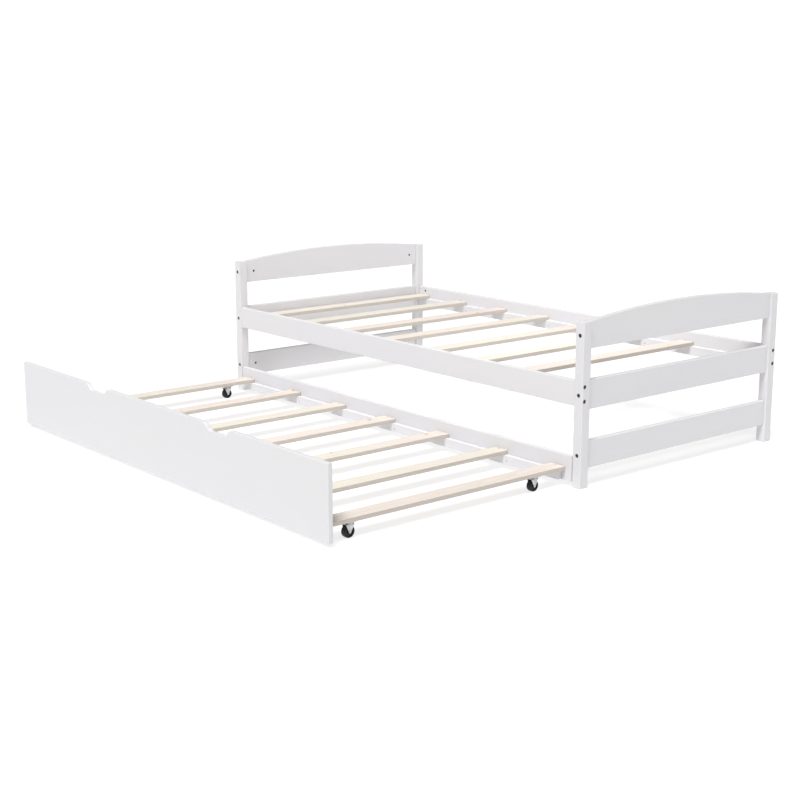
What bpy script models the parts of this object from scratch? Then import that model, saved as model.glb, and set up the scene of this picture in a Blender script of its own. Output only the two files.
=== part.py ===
"""Twin trundle bed: a low post-and-rail bed with a rolling pull-out bed beneath it.

Units are metres and +Z is up.  X runs along the bed, from the headboard (-X) to the
footboard (+X).  Y runs across it: the trundle rolls out towards -Y.  The origin is on
the floor, under the middle of the whole object with the trundle pulled right out.
"""
import math

import bmesh
import bpy
from mathutils import Matrix, Vector

# ---------------------------------------------------------------- driving dimensions
BED_LENGTH = 2.040          # over the posts, sized for a 0.99 x 1.905 m mattress
BED_WIDTH = 1.030
PULL_OUT = 1.010            # how far the trundle stands out of the bed
GAP = 0.0003                # between pieces that touch
EASE = 0.0018               # rounding of the painted edges
SLAT_EASE = 0.0015

POST = 0.037                # square section
POST_HEIGHT = 0.561

RAIL_THICKNESS = 0.020
END_RAILS = {               # height of each end rail's lower and upper edge
    "lower": (0.065, 0.159),
    "middle": (0.266, 0.366),
    "top": (0.470, 0.561),
}
ARCH_RISE = 0.030           # the top rail's crown above the posts
ARCH_STEPS = 18
SIDE_RAIL = (0.2785, 0.3645)
SIDE_RAIL_INSET = 0.001     # of its outer face, behind the posts' faces

SLAT_WIDTH = 0.066
SLAT_THICKNESS = 0.015
SLAT_END_GAP = 0.0015

BED_SLATS = 8
BED_SLAT_BOTTOM = 0.3140
BED_FIRST_SLAT = 0.077      # slat centre, from the headboard's outer face
BED_SLAT_PITCH = 0.2615
BED_SLAT_SHIFT = {5: 0.016, 6: 0.016}   # slats that stand off the even spacing
LAST_BED_SLAT = 0.110       # slat centre, from the footboard's outer face
BED_LEDGER_DEPTH = 0.018
BED_LEDGER_BOTTOM = 0.2785
BED_LEDGER_END = 0.048      # from the posts' outer faces

TRUNDLE_SIDE_GAP = 0.004    # between the trundle's ends and the posts
PANEL_THICKNESS = 0.017
PANEL = (0.013, 0.256)
NOTCH_OFFSET = 0.393        # of each hand notch from the panel's middle
NOTCH_WIDTH = 0.160
NOTCH_FLOOR = 0.080
NOTCH_DEPTH = 0.024
NOTCH_STEPS = 6
BACK_RAIL_THICKNESS = 0.018
BACK_RAIL = (0.0170, 0.1063)

TRUNDLE_SLATS = 7
TRUNDLE_SLAT_BOTTOM = 0.0520
TRUNDLE_SLAT_END = 0.068    # outer edge of the end slats, from the bed's ends
INNER_SLAT_SHIFT = 0.029    # the inner slats stand a little towards the footboard
TRUNDLE_LEDGER_END = 0.085  # from the bed's ends
TRUNDLE_LEDGER_DEPTH = 0.017
TRUNDLE_LEDGER_BOTTOM = 0.0190

WHEEL_RADIUS = 0.020
WHEEL_WIDTH = 0.018
WHEEL_EDGE = 0.0030         # rounding between the tread and the wheel's sides
WHEEL_DISH = 0.0012         # depth of the hollow in each side, from hub to rim
WHEEL_HUB = 0.0078
WHEEL_RIM = 0.0138
CASTER_TRAIL = 0.004        # axle's distance from the swivel axis
CASTER_SHIFT_X = {"head": 0.0145, "foot": 0.011}    # from its slat's centre line
FRONT_CASTER = 0.112        # swivel axis behind the panel's front face
BACK_CASTER = 0.1285        # swivel axis in front of the back rail
PLATE_SIDE = 0.036
PLATE_THICKNESS = 0.0018
SWIVEL_RADIUS = 0.0145
SWIVEL_HEIGHT = 0.0050
STEM_RADIUS = 0.0044
FORK_SHEET = 0.0016
FORK_TOP_EDGES = (-0.0185, 0.0125)      # from the swivel axis, along the wheel
FORK_TIP_RADIUS = 0.0030
FORK_TIP_DROP = 0.0022      # of the tip's centre, below the axle
AXLE_RADIUS = 0.0028
AXLE_HEAD_RADIUS = 0.0040
AXLE_HEAD = 0.0012
WHEEL_CLEARANCE = 0.0008    # between the wheel's sides and the fork

BOLT_RADIUS = 0.0030
BOLT_HEAD_RADIUS = 0.0065
BOLT_HEAD = 0.0020
BOLT_SOCKET_RADIUS = 0.0025
BOLT_SOCKET_DEPTH = 0.0012
BOLT_LENGTH = 0.064
BOLT_HOLE_DEPTH = 0.068
SIDE_BOLT_HEIGHTS = (0.297, 0.346)
HOLE_GAP = 0.0005
RUNNING_FIT = 0.0001        # radial, where one round piece turns on another

# ------------------------------------------------------------------- derived places
HALF_LENGTH = BED_LENGTH / 2
NEAR = (PULL_OUT - BED_WIDTH) / 2           # outer face of the near posts
FAR = NEAR + BED_WIDTH                      # outer face of the far posts
BED_MIDDLE = (NEAR + FAR) / 2
END_RAIL_X = HALF_LENGTH - POST / 2         # end rails are centred in the posts
SIDE_RAIL_Y = SIDE_RAIL_INSET + RAIL_THICKNESS / 2      # from the posts' outer faces
TRUNDLE_HALF = HALF_LENGTH - POST - TRUNDLE_SIDE_GAP
PANEL_FRONT = NEAR - PULL_OUT
ENDS = {"headboard": -1, "footboard": 1}
SIDES = {"near": -1, "far": 1}

PAINT = ("white_paint", (0.86, 0.86, 0.87), 0.38, 0.0)
PINE = ("pine", (0.84, 0.72, 0.56), 0.60, 0.0)
ZINC = ("zinc_steel", (0.62, 0.62, 0.62), 0.35, 1.0)
BLACK_STEEL = ("black_steel", (0.06, 0.06, 0.06), 0.40, 1.0)
BLACK_PLASTIC = ("black_plastic", (0.03, 0.03, 0.03), 0.45, 0.0)


# -------------------------------------------------------------------------- helpers
def clear_scene():
    """Remove everything the file starts with."""
    for obj in list(bpy.data.objects):
        bpy.data.objects.remove(obj, do_unlink=True)


def material(finish):
    """The Principled material of a finish, made once."""
    name, color, roughness, metallic = finish
    if name in bpy.data.materials:
        return bpy.data.materials[name]
    mat = bpy.data.materials.new(name)
    mat.use_nodes = True
    shader = mat.node_tree.nodes["Principled BSDF"]
    shader.inputs["Base Color"].default_value = (*color, 1.0)
    shader.inputs["Roughness"].default_value = roughness
    shader.inputs["Metallic"].default_value = metallic
    return mat


def empty(name, location, parent=None):
    """An empty that carries a group of pieces, or sits on a joint's axis."""
    obj = bpy.data.objects.new(name, None)
    obj.empty_display_size = 0.03
    obj.location = location
    obj.parent = parent
    bpy.context.scene.collection.objects.link(obj)
    return obj


def add_piece(name, bm, finish, location, parent, smooth=False):
    """Turn a bmesh into a named object with its material, placed under its parent."""
    bmesh.ops.recalc_face_normals(bm, faces=bm.faces)
    mesh = bpy.data.meshes.new(name)
    bm.to_mesh(mesh)
    bm.free()
    obj = bpy.data.objects.new(name, mesh)
    bpy.context.scene.collection.objects.link(obj)
    obj.location = location
    obj.parent = parent
    if finish:
        mesh.materials.append(material(finish))
    if smooth:
        mesh.shade_smooth()
        mesh.set_sharp_from_angle(angle=math.radians(35))
    return obj


def box(size):
    """A box centred on the origin."""
    bm = bmesh.new()
    bmesh.ops.create_cube(bm, size=1.0)
    bmesh.ops.scale(bm, vec=Vector(size), verts=bm.verts)
    return bm


def prism(outline, thickness, turn=Matrix()):
    """An outline in X and Z, extruded along Y and centred on it, then turned."""
    bm = bmesh.new()
    front = bm.faces.new([bm.verts.new((x, -thickness / 2, z)) for x, z in outline])
    sides = bmesh.ops.extrude_face_region(bm, geom=[front])
    moved = [item for item in sides["geom"] if isinstance(item, bmesh.types.BMVert)]
    bmesh.ops.translate(bm, vec=(0, thickness, 0), verts=moved)
    bmesh.ops.transform(bm, matrix=turn, verts=bm.verts)
    return bm


def add_lathe(bm, profile, segments, turn=Matrix()):
    """Add a profile of (radius, height) points turned around Z, then moved by turn."""
    rings = []
    for radius, height in profile:
        if radius == 0:
            rings.append([bm.verts.new(turn @ Vector((0, 0, height)))])
            continue
        ring = []
        for i in range(segments):
            angle = 2 * math.pi * i / segments
            point = Vector((radius * math.cos(angle), radius * math.sin(angle), height))
            ring.append(bm.verts.new(turn @ point))
        rings.append(ring)
    closed = rings if profile[0][0] == 0 else rings + rings[:1]
    for low, high in zip(closed, closed[1:]):
        for i in range(segments):
            j = (i + 1) % segments
            if len(low) == 1:
                bm.faces.new((low[0], high[i], high[j]))
            elif len(high) == 1:
                bm.faces.new((low[i], low[j], high[0]))
            else:
                bm.faces.new((low[i], low[j], high[j], high[i]))


def lathe(profile, segments, turn=Matrix()):
    """A turned solid of its own."""
    bm = bmesh.new()
    add_lathe(bm, profile, segments, turn)
    return bm


def ease_edges(obj, width):
    """Round the piece's sharp edges, as a sander would."""
    bevel = obj.modifiers.new("eased_edges", "BEVEL")
    bevel.width = width
    bevel.limit_method = "ANGLE"
    bevel.angle_limit = math.radians(40)


def combine(obj, other, operation):
    """Boolean another object into this one; the other stays as a hidden guide."""
    other.hide_render = True
    other.display_type = "WIRE"
    boolean = obj.modifiers.new(operation.lower(), "BOOLEAN")
    boolean.operation = operation
    boolean.solver = "EXACT"
    boolean.object = other


def facing(direction):
    """Rotation that points local +Z along a direction."""
    return Vector(direction).to_track_quat("Z", "Y").to_matrix().to_4x4()


# ---------------------------------------------------------------------------- bolts
def hole_profile():
    """Cutter for a bolt whose head lies at the origin, shank towards -Z."""
    shank, head = BOLT_RADIUS + HOLE_GAP, BOLT_HEAD_RADIUS + HOLE_GAP
    floor = -BOLT_HEAD - GAP
    return [(0, -BOLT_HOLE_DEPTH), (shank, -BOLT_HOLE_DEPTH), (shank, floor),
            (head, floor), (head, 0.001), (0, 0.001)]


def bolt_profile():
    """Flat-headed furniture bolt with a round socket, head up."""
    top = -GAP
    return [(0, top - BOLT_SOCKET_DEPTH), (BOLT_SOCKET_RADIUS, top - BOLT_SOCKET_DEPTH),
            (BOLT_SOCKET_RADIUS, top), (BOLT_HEAD_RADIUS - 0.0005, top),
            (BOLT_HEAD_RADIUS, top - 0.0005), (BOLT_HEAD_RADIUS, -BOLT_HEAD),
            (BOLT_RADIUS, -BOLT_HEAD), (BOLT_RADIUS, -BOLT_LENGTH), (0, -BOLT_LENGTH)]


def end_rail_bolt(end, side, level):
    """Head place of the bolt that runs along Y into one end rail."""
    low, high = END_RAILS[level]
    face = NEAR if side < 0 else FAR
    return Vector((end * END_RAIL_X, face, (low + high) / 2)), (0, side, 0)


def side_rail_bolts(end, side):
    """Head places of the bolts that run along X, into the side rail."""
    face = (NEAR if side < 0 else FAR) - side * SIDE_RAIL_Y
    return [(Vector((end * HALF_LENGTH, face, z)), (end, 0, 0)) for z in SIDE_BOLT_HEIGHTS]


def drill(obj, places):
    """Cut the bolt holes at the given places out of a piece of the bed frame."""
    bm = bmesh.new()
    for point, direction in places:
        turn = Matrix.Translation(point) @ facing(direction)
        add_lathe(bm, hole_profile(), 12, turn)
    cutter = add_piece(obj.name + "_holes", bm, None, (0, 0, 0), obj.parent)
    combine(obj, cutter, "DIFFERENCE")


# ------------------------------------------------------------------------ bed frame
def make_posts(parent):
    for end_name, end in ENDS.items():
        for side_name, side in SIDES.items():
            place = (end * (HALF_LENGTH - POST / 2),
                     BED_MIDDLE + side * (BED_WIDTH - POST) / 2, POST_HEIGHT / 2)
            post = add_piece(f"post_{end_name}_{side_name}", box((POST, POST, POST_HEIGHT)),
                             PAINT, place, parent)
            ease_edges(post, EASE)
            across = [end_rail_bolt(end, side, level) for level in END_RAILS]
            drill(post, across + side_rail_bolts(end, side))


def arch_outline(length, low, high):
    """A board whose upper edge is an arc that rises ARCH_RISE over its ends."""
    radius = (length ** 2 / 4 + ARCH_RISE ** 2) / (2 * ARCH_RISE)
    half_angle = math.asin(length / 2 / radius)
    outline = [(-length / 2, low), (length / 2, low)]
    for i in range(ARCH_STEPS + 1):
        angle = half_angle * (1 - 2 * i / ARCH_STEPS)
        rise = radius * (math.cos(angle) - math.cos(half_angle))
        outline.append((radius * math.sin(angle), high + rise))
    return outline


def make_end_rails(parent):
    length = BED_WIDTH - 2 * POST - 2 * GAP
    quarter_turn = Matrix.Rotation(math.pi / 2, 4, "Z")
    for end_name, end in ENDS.items():
        for level, (low, high) in END_RAILS.items():
            if level == "top":
                bm = prism(arch_outline(length, low, high), RAIL_THICKNESS, quarter_turn)
                height = 0
            else:
                bm = box((RAIL_THICKNESS, length, high - low))
                height = (low + high) / 2
            rail = add_piece(f"{end_name}_{level}_rail", bm, PAINT,
                             (end * END_RAIL_X, BED_MIDDLE, height), parent)
            ease_edges(rail, EASE)
            drill(rail, [end_rail_bolt(end, side, level) for side in SIDES.values()])


def make_side_rails(parent):
    low, high = SIDE_RAIL
    length = BED_LENGTH - 2 * POST - 2 * GAP
    for side_name, side in SIDES.items():
        y = (NEAR if side < 0 else FAR) - side * SIDE_RAIL_Y
        rail = add_piece(f"side_rail_{side_name}", box((length, RAIL_THICKNESS, high - low)),
                         PAINT, (0, y, (low + high) / 2), parent)
        ease_edges(rail, EASE)
        drill(rail, side_rail_bolts(-1, side) + side_rail_bolts(1, side))


def make_side_rail_bolts(parent):
    for end_name, end in ENDS.items():
        for side_name, side in SIDES.items():
            for level, (point, way) in zip(("lower", "upper"), side_rail_bolts(end, side)):
                bm = lathe(bolt_profile(), 12, facing(way))
                add_piece(f"bolt_{end_name}_{side_name}_{level}", bm, BLACK_STEEL,
                          point, parent, smooth=True)


def make_bed_ledgers(parent):
    low, high = BED_LEDGER_BOTTOM, BED_SLAT_BOTTOM - GAP
    length = BED_LENGTH - 2 * BED_LEDGER_END
    from_face = SIDE_RAIL_INSET + RAIL_THICKNESS + GAP + BED_LEDGER_DEPTH / 2
    for side_name, side in SIDES.items():
        y = (NEAR if side < 0 else FAR) - side * from_face
        ledger = add_piece(f"slat_ledger_{side_name}",
                           box((length, BED_LEDGER_DEPTH, high - low)),
                           PAINT, (0, y, (low + high) / 2), parent)
        ease_edges(ledger, SLAT_EASE)


def make_bed_slats(parent):
    length = BED_WIDTH - 2 * (SIDE_RAIL_INSET + RAIL_THICKNESS + SLAT_END_GAP)
    z = BED_SLAT_BOTTOM + SLAT_THICKNESS / 2
    for i in range(BED_SLATS):
        x = -HALF_LENGTH + BED_FIRST_SLAT + i * BED_SLAT_PITCH
        x += BED_SLAT_SHIFT.get(i + 1, 0)
        if i == BED_SLATS - 1:
            x = HALF_LENGTH - LAST_BED_SLAT
        slat = add_piece(f"bed_slat_{i + 1}", box((SLAT_WIDTH, length, SLAT_THICKNESS)),
                         PINE, (x, BED_MIDDLE, z), parent)
        ease_edges(slat, SLAT_EASE)


# -------------------------------------------------------------------------- trundle
def notch_points(centre, top):
    """The panel's top edge across one hand notch, from -X to +X."""
    ramp = (NOTCH_WIDTH - NOTCH_FLOOR) / 2
    down = []
    for i in range(NOTCH_STEPS + 1):
        share = i / NOTCH_STEPS
        drop = NOTCH_DEPTH * (1 - math.cos(math.pi * share)) / 2
        down.append((-NOTCH_WIDTH / 2 + ramp * share, top - drop))
    up = [(-x, z) for x, z in reversed(down)]
    return [(centre + x, z) for x, z in down + up]


def make_front_panel(parent):
    low, high = PANEL
    outline = [(TRUNDLE_HALF, low), (-TRUNDLE_HALF, low), (-TRUNDLE_HALF, high)]
    outline += notch_points(-NOTCH_OFFSET, high) + notch_points(NOTCH_OFFSET, high)
    outline.append((TRUNDLE_HALF, high))
    panel = add_piece("trundle_front_panel", prism(outline, PANEL_THICKNESS),
                      PAINT, (0, PANEL_THICKNESS / 2, 0), parent)
    ease_edges(panel, EASE)


def make_back_rail(parent):
    low, high = BACK_RAIL
    size = (2 * TRUNDLE_HALF, BACK_RAIL_THICKNESS, high - low)
    rail = add_piece("trundle_back_rail", box(size), PAINT,
                     (0, PULL_OUT + BACK_RAIL_THICKNESS / 2, (low + high) / 2), parent)
    ease_edges(rail, EASE)


def make_trundle_ledgers(parent):
    low, high = TRUNDLE_LEDGER_BOTTOM, TRUNDLE_SLAT_BOTTOM - GAP
    size = (BED_LENGTH - 2 * TRUNDLE_LEDGER_END, TRUNDLE_LEDGER_DEPTH, high - low)
    places = {
        "front": PANEL_THICKNESS + GAP + TRUNDLE_LEDGER_DEPTH / 2,
        "back": PULL_OUT - GAP - TRUNDLE_LEDGER_DEPTH / 2,
    }
    for name, y in places.items():
        ledger = add_piece(f"trundle_ledger_{name}", box(size), PAINT,
                           (0, y, (low + high) / 2), parent)
        ease_edges(ledger, SLAT_EASE)


def trundle_slat_x(index):
    """Centre line of a trundle slat, counted from the headboard end."""
    first = -HALF_LENGTH + TRUNDLE_SLAT_END + SLAT_WIDTH / 2
    pitch = -2 * first / (TRUNDLE_SLATS - 1)
    inner = 0 < index < TRUNDLE_SLATS - 1
    return first + index * pitch + (INNER_SLAT_SHIFT if inner else 0)


def make_trundle_slats(parent):
    length = PULL_OUT - PANEL_THICKNESS - 2 * SLAT_END_GAP
    y = (PULL_OUT + PANEL_THICKNESS) / 2
    z = TRUNDLE_SLAT_BOTTOM + SLAT_THICKNESS / 2
    for i in range(TRUNDLE_SLATS):
        slat = add_piece(f"trundle_slat_{i + 1}", box((SLAT_WIDTH, length, SLAT_THICKNESS)),
                         PINE, (trundle_slat_x(i), y, z), parent)
        ease_edges(slat, SLAT_EASE)


# -------------------------------------------------------------------------- casters
PLATE_TOP = TRUNDLE_SLAT_BOTTOM - GAP
PLATE_BOTTOM = PLATE_TOP - PLATE_THICKNESS
SWIVEL_TOP = PLATE_BOTTOM - GAP
FORK_TOP = SWIVEL_TOP - SWIVEL_HEIGHT
FORK_INSIDE = WHEEL_WIDTH / 2 + WHEEL_CLEARANCE     # inner face of each fork leg
AXLE_HALF = FORK_INSIDE + FORK_SHEET + GAP + AXLE_HEAD


def make_caster_plate(name, swivel):
    """Mounting plate with a round hole for the fork's stem."""
    half, corner = PLATE_SIDE / 2, 0.006
    outline = []
    for quarter, (sx, sy) in enumerate(((1, 1), (-1, 1), (-1, -1), (1, -1))):
        for i in range(4):
            angle = math.pi / 2 * (quarter + i / 3)
            outline.append((sx * (half - corner) + corner * math.cos(angle),
                            sy * (half - corner) + corner * math.sin(angle)))
    lay_flat = Matrix.Rotation(math.pi / 2, 4, "X")
    plate = add_piece(f"{name}_plate", prism(outline, PLATE_THICKNESS, lay_flat), ZINC,
                      (0, 0, (PLATE_TOP + PLATE_BOTTOM) / 2), swivel)
    radius = STEM_RADIUS + RUNNING_FIT
    cylinder = [(0, -PLATE_THICKNESS), (radius, -PLATE_THICKNESS),
                (radius, PLATE_THICKNESS), (0, PLATE_THICKNESS)]
    hole = add_piece(f"{name}_plate_hole", lathe(cylinder, 24), None, plate.location, swivel)
    combine(plate, hole, "DIFFERENCE")


def fork_side_outline():
    """Fork leg seen along the axle: wide under the swivel, a rounded V at the axle."""
    behind, ahead = FORK_TOP_EDGES
    outline = [(ahead, FORK_TOP), (behind, FORK_TOP)]
    for i in range(7):
        angle = math.radians(203 + 131 * i / 6)
        outline.append((-CASTER_TRAIL + FORK_TIP_RADIUS * math.cos(angle),
                        WHEEL_RADIUS - FORK_TIP_DROP + FORK_TIP_RADIUS * math.sin(angle)))
    return outline


def make_fork(name, swivel):
    """Pressed fork with its swivel race and stem, straddling the wheel."""
    across = 2 * (FORK_INSIDE + FORK_SHEET)
    quarter_turn = Matrix.Rotation(math.pi / 2, 4, "Z")
    fork = add_piece(f"{name}_fork", prism(fork_side_outline(), across, quarter_turn), ZINC,
                     (0, 0, 0), swivel)
    slot_height = FORK_TOP - FORK_SHEET
    slot = add_piece(f"{name}_fork_slot", box((2 * FORK_INSIDE, 0.08, slot_height)), None,
                     (0, 0, slot_height / 2), swivel)
    combine(fork, slot, "DIFFERENCE")
    race = [(0, FORK_TOP - FORK_SHEET / 2), (SWIVEL_RADIUS, FORK_TOP - FORK_SHEET / 2),
            (SWIVEL_RADIUS, SWIVEL_TOP), (STEM_RADIUS, SWIVEL_TOP),
            (STEM_RADIUS, PLATE_TOP - GAP), (0, PLATE_TOP - GAP)]
    race_guide = add_piece(f"{name}_fork_race", lathe(race, 20), None, (0, 0, 0), swivel)
    combine(fork, race_guide, "UNION")
    radius = AXLE_RADIUS + HOLE_GAP
    bore = [(0, -across), (radius, -across), (radius, across), (0, across)]
    hole = add_piece(f"{name}_fork_hole", lathe(bore, 12, facing((1, 0, 0))), None,
                     (0, -CASTER_TRAIL, WHEEL_RADIUS), swivel)
    combine(fork, hole, "DIFFERENCE")


def make_wheel(name, axle_line):
    """Solid wheel with dished sides and a bore that runs on the axle."""
    half, bore = WHEEL_WIDTH / 2, AXLE_RADIUS + RUNNING_FIT
    dish, lip = half - WHEEL_DISH, WHEEL_DISH / 2
    side = [(bore, half), (WHEEL_HUB - lip, half), (WHEEL_HUB, dish),
            (WHEEL_RIM, dish), (WHEEL_RIM + lip, half),
            (WHEEL_RADIUS - WHEEL_EDGE, half), (WHEEL_RADIUS, half - WHEEL_EDGE)]
    profile = side + [(radius, -x) for radius, x in reversed(side)]
    add_piece(f"{name}_wheel", lathe(profile, 24, facing((1, 0, 0))), BLACK_PLASTIC,
              (0, 0, 0), axle_line, smooth=True)


def make_axle(name, axle_line):
    """Rivet through the fork and the wheel, headed at both ends."""
    shoulder = AXLE_HALF - AXLE_HEAD
    side = [(AXLE_RADIUS, shoulder), (AXLE_HEAD_RADIUS, shoulder),
            (AXLE_HEAD_RADIUS * 0.8, AXLE_HALF - 0.0003), (0, AXLE_HALF)]
    profile = [(radius, -x) for radius, x in reversed(side)] + side
    add_piece(f"{name}_axle", lathe(profile, 12, facing((1, 0, 0))), ZINC, (0, 0, 0),
              axle_line, smooth=True)


def make_casters(trundle):
    places_x = {"head": trundle_slat_x(0), "foot": trundle_slat_x(TRUNDLE_SLATS - 1)}
    places_y = {"front": FRONT_CASTER, "back": PULL_OUT - BACK_CASTER}
    for row, y in places_y.items():
        for end, x in places_x.items():
            name = f"caster_{row}_{end}"
            swivel = empty(name + "_swivel_axis", (x + CASTER_SHIFT_X[end], y, 0), trundle)
            axle_line = empty(name + "_axle_axis", (0, -CASTER_TRAIL, WHEEL_RADIUS), swivel)
            make_caster_plate(name, swivel)
            make_fork(name, swivel)
            make_wheel(name, axle_line)
            make_axle(name, axle_line)


# ------------------------------------------------------------------------- assembly
def main():
    clear_scene()
    bed_frame = empty("bed_frame", (0, 0, 0))
    make_posts(bed_frame)
    make_end_rails(bed_frame)
    make_side_rails(bed_frame)
    make_side_rail_bolts(bed_frame)
    make_bed_ledgers(bed_frame)
    make_bed_slats(bed_frame)

    trundle = empty("trundle", (0, PANEL_FRONT, 0))
    make_front_panel(trundle)
    make_back_rail(trundle)
    make_trundle_ledgers(trundle)
    make_trundle_slats(trundle)
    make_casters(trundle)


main()
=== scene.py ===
"""The looks of the trundle bed: painted boards, pine slats, fasteners and casters.

Metres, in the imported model's frame.  Every piece takes its place from the CAD nodes
that it stands for.  X runs along the bed, from the headboard to the footboard, and the
trundle rolls out towards -Y.
"""
import math
import random

import bmesh
import bpy
from mathutils import Euler, Matrix, Vector


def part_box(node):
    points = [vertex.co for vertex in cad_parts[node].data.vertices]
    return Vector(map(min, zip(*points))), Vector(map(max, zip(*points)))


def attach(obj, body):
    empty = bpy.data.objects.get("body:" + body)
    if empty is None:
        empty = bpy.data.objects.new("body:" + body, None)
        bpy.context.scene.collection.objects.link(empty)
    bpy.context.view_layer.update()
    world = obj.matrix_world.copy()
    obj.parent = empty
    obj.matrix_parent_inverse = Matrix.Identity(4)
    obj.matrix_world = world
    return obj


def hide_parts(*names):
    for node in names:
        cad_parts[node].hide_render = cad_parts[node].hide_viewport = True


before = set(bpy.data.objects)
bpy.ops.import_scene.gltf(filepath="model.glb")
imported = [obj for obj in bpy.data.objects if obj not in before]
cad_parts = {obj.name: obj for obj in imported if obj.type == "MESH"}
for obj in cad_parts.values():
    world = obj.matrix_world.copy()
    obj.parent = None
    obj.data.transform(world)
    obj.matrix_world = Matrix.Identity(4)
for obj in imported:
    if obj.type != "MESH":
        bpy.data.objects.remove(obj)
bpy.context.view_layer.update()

# ------------------------------------------------------------------ sizes and places
ENDS = {"headboard": -1, "footboard": 1}
SIDES = {"near": -1, "far": 1}
LEVELS = ("lower", "middle", "top")
BED_SLATS = [f"bed_slat_{i}" for i in range(1, 9)]
TRUNDLE_SLATS = [f"trundle_slat_{i}" for i in range(1, 8)]
CASTERS = [f"caster_{row}_{end}" for row in ("front", "back") for end in ("head", "foot")]

PAINT_EDGE = 0.0022         # radius of the painted boards' rounded edges
LEDGER_EDGE = 0.0015
PINE_EDGE = 0.0018
ROUNDED_ANGLE = 30          # degrees between two faces from which their edge is rounded
FLAT_FACE = 0.0004          # square metres; a point with no bigger face beside it is worn
ARCH_STEPS = 48
NOTCH_OFFSET = 0.393        # of each hand notch from the panel's middle
NOTCH_WIDTH = 0.160
NOTCH_FLOOR = 0.080
NOTCH_DEPTH = 0.024
NOTCH_STEPS = 20

BOLT_RADIUS = 0.0065        # of the head
BOLT_SUNK = 0.0006          # the head's top below the post's face
BOLT_SOCKET = 0.0040        # across the socket's flats
BOLT_SOCKET_DEPTH = 0.0018
BOLT_SEGMENTS = 36
BOLT_HOLE_RADIUS = 0.0070
BOLT_HOLE_DEPTH = 0.0032
NUT_RADIUS = 0.0050
NUT_SUNK = 0.0014
NUT_HOLE_RADIUS = 0.0053
NUT_HOLE_DEPTH = 0.0060
NUT_FROM_POST = 0.040       # barrel nut's distance from the post
HOLE_RIM = 0.0005           # width of a hole's broken edge
SCREW_RADIUS = 0.0040
SLAT_SCREW_INSET = 0.012    # from the slat's ends
LEDGER_SCREW_ASIDE = 0.012  # from the slat that it stands next to
LEDGER_SCREW_INSET = 0.01   # at least, from the ledger's end
LEDGER_SCREW_DROP = 0.004   # below the ledger's middle

PLATE_CORNER = 0.006        # radius of the caster plate's corners
PLATE_EDGE = 0.0003
PLATE_HOLE_RADIUS = 0.0021
PLATE_HOLE_INSET = 0.0052   # from the plate's sides
PIN_HOLE_RADIUS = 0.0046
PAN_SCREW_RADIUS = 0.0033
FORK_BLANK = 0.03           # reach of the bent sheet before its sides are trimmed
FORK_TRIM = 0.02            # half width of the shape that trims it
FORK_SHEET = 0.0016         # thickness
FORK_BEND = 0.0030          # outside radius of the two bends
FORK_BAND = 0.002           # upright edge below the top, where the cheeks start
FORK_NOSE = 0.002           # how much further the fork reaches ahead than behind
FORK_TIP = 0.0030           # radius of the cheeks' lower ends
BEND_STEPS = 8
TIP_STEPS = 16
TIP_START = 203             # degrees, where the tip's arc starts
TIP_SWEEP = 131
RACE_RADIUS = 0.0145
RACE_HEIGHT = 0.0050
RACE_GAP = 0.0003           # between the race and the plate
KING_PIN_RADIUS = 0.0044
AXLE_HEAD_RADIUS = 0.0040
AXLE_HEAD_ROOM = 0.0015     # for each head, outside the fork
WHEEL_BORE = 0.0029
WHEEL_SHOULDER = 0.0028     # radius between the tread and the sides
SHOULDER_STEPS = 5
WHEEL_CROWN = 0.00005       # the tread's middle stands this much higher

# Photograph's viewpoint: azimuth 0 looks along +Y, and 90 along -X
VIEW_AZIMUTH = 50.29
VIEW_ELEVATION = 12.69
VIEW_TARGET = (0.0587, 0.0133, 0.1351)
VIEW_DISTANCE = 5.549
LENS = 65.73                # millimetres
SENSOR_WIDTH = 36.0

# Light: brightness of the surround at each height (the sine of the elevation)
SKY = ((0.0, 1.08), (0.08, 1.05), (0.22, 0.18), (0.60, 0.18), (0.88, 0.30), (1.0, 0.40))
KEY_STRENGTH = 3.6
KEY_SPREAD = 26             # degrees
KEY_FROM = (0.22, -0.36, 0.90)
# Each fill: name, place, the point it faces, its width and height, and watts
FILLS = (
    ("headboard_fill", (0.60, 0.50, 1.05), (-1.0, 0.50, 0.30), (0.8, 0.5), 4.6),
    ("back_rail_fill", (0.0, -0.92, 0.42), (0.0, 0.0, 0.08), (1.8, 0.12), 1.0),
)
FLOOR_GLOW = 0.72           # of the back-lit floor
FLOOR_PALE = 0.28           # how much of the room's light it throws back
FLOOR_RADIUS = 60.0

# Linear red, green and blue
WHITE_COOL = (0.690, 0.683, 0.706)
WHITE_WARM = (0.712, 0.702, 0.712)
PAINT_GRAIN = (0.620, 0.612, 0.625)
PAINT_THIN = (0.650, 0.630, 0.600)
PINE_YELLOW = (0.700, 0.662, 0.590)
PINE_PINK = (0.710, 0.640, 0.592)
PINE_PALE = (0.740, 0.718, 0.675)
# painted shade laid on the slats' narrow sides
PINE_PAINTED_SHADE = (0.440, 0.395, 0.345)
PINE_LATE = (0.580, 0.485, 0.385)
PINE_FLECK = (0.400, 0.270, 0.160)
PINE_HALO = (0.560, 0.390, 0.230)
PINE_KNOT = (0.230, 0.130, 0.070)
ZINC = (0.60, 0.61, 0.62)
ZINC_DULLED = 0.78          # share of the zinc's brightness in its duller clouds
OXIDE = (0.050, 0.050, 0.054)
OXIDE_RUBBED = (0.095, 0.092, 0.090)
PLASTIC = (0.004, 0.004, 0.005)
PLASTIC_DUSTY = (0.013, 0.012, 0.012)
PLASTIC_SCUFFED = (0.038, 0.036, 0.034)


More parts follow.
